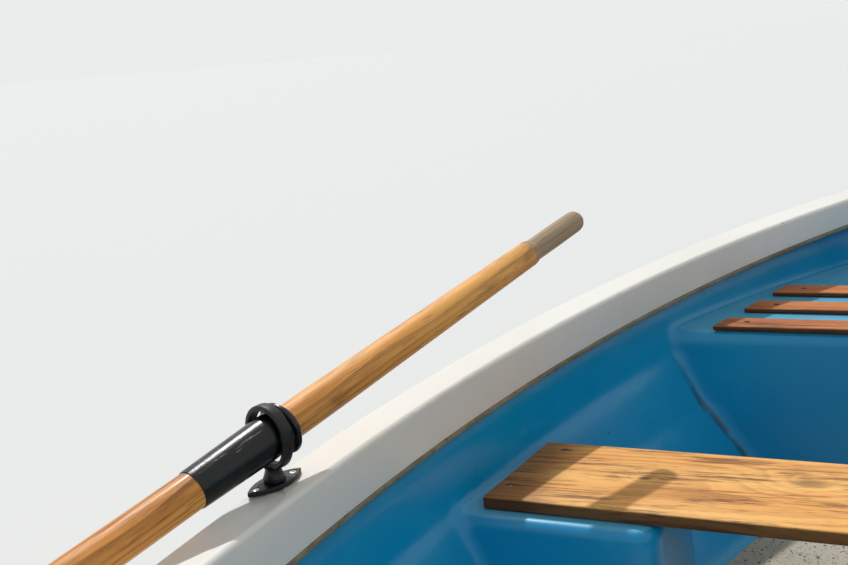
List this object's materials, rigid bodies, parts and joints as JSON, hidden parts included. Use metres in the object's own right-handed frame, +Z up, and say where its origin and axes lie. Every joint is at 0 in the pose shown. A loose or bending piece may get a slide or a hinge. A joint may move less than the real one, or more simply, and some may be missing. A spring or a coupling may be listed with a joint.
{
  "type": "rowboat",
  "caption": "Moulded rowing dinghy with planked sides, wooden thwart and seat slats, and oars held in swivelling rowlocks.",
  "frame": {"origin": "on the waterline, on the centreline, halfway along the gunwale", "axes": "+Y towards the bow, +X to starboard, +Z up"},
  "size_m": [2.4038, 3.2598, 0.6596],
  "materials": {
    "hull_white": "gloss gelcoat, lightly weathered",
    "rim_white": "gloss gelcoat, sun bleached",
    "liner_blue": "gloss gelcoat, scuffed",
    "bead_tan": "dirty sealant",
    "floor_grit": "non-slip grit, grey-sand",
    "thwart_wood": "oiled hardwood",
    "slat_wood": "oiled reddish hardwood, weathered",
    "oar_wood": "varnished softwood, grip bare and greyed",
    "black_plastic": "black nylon, weathered",
    "sleeve_plastic": "black polythene, semi-gloss",
    "keel_white": "gloss gelcoat",
    "metal": "stainless steel",
    "pad_wood": "varnished plywood"
  },
  "bodies": {
    "hull": {"hull_shell": "hull_white", "inner_liner": "liner_blue", "gunwale_rim": "rim_white", "gunwale_bead": "bead_tan", "floor_mat": "floor_grit", "thwart": "thwart_wood", "bow_slat_1": "slat_wood", "bow_slat_2": "slat_wood", "bow_slat_3": "slat_wood", "stern_slat_1": "slat_wood", "stern_slat_2": "slat_wood", "stern_slat_3": "slat_wood", "stern_slat_4": "slat_wood", "rowlock_plate_starboard": "black_plastic", "rowlock_plate_port": "black_plastic", "keel": "keel_white", "keel_band": "metal", "bilge_runner_starboard": "keel_white", "bilge_runner_port": "keel_white", "bow_eye": "metal", "stern_eye_starboard": "metal", "stern_eye_port": "metal", "transom_pad": "pad_wood"},
    "rowlock_starboard": {"rowlock_starboard": "black_plastic"},
    "oar_starboard": {"oar_starboard": "oar_wood", "oar_sleeve_starboard": "sleeve_plastic"},
    "rowlock_port": {"rowlock_port": "black_plastic"},
    "oar_port": {"oar_port": "oar_wood", "oar_sleeve_port": "sleeve_plastic"}
  },
  "joints": [
    {"name": "swing_starboard", "type": "hinge", "parent": "hull", "child": "rowlock_starboard", "pos_m": [0.684, 0.194, 0.31577], "axis": [0, 0, 1], "range_deg": [0, 122]},
    {"name": "dip_starboard", "type": "hinge", "parent": "rowlock_starboard", "child": "oar_starboard", "pos_m": [0.684, 0.194, 0.37177], "axis": [0.9511, 0.309, 0], "range_deg": [-12, 0]},
    {"name": "swing_port", "type": "hinge", "parent": "hull", "child": "rowlock_port", "pos_m": [-0.684, 0.194, 0.31577], "axis": [0, 0, -1], "range_deg": [0, 122]},
    {"name": "dip_port", "type": "hinge", "parent": "rowlock_port", "child": "oar_port", "pos_m": [-0.684, 0.194, 0.37177], "axis": [0.9511, -0.309, 0], "range_deg": [-12, 0]}
  ]
}
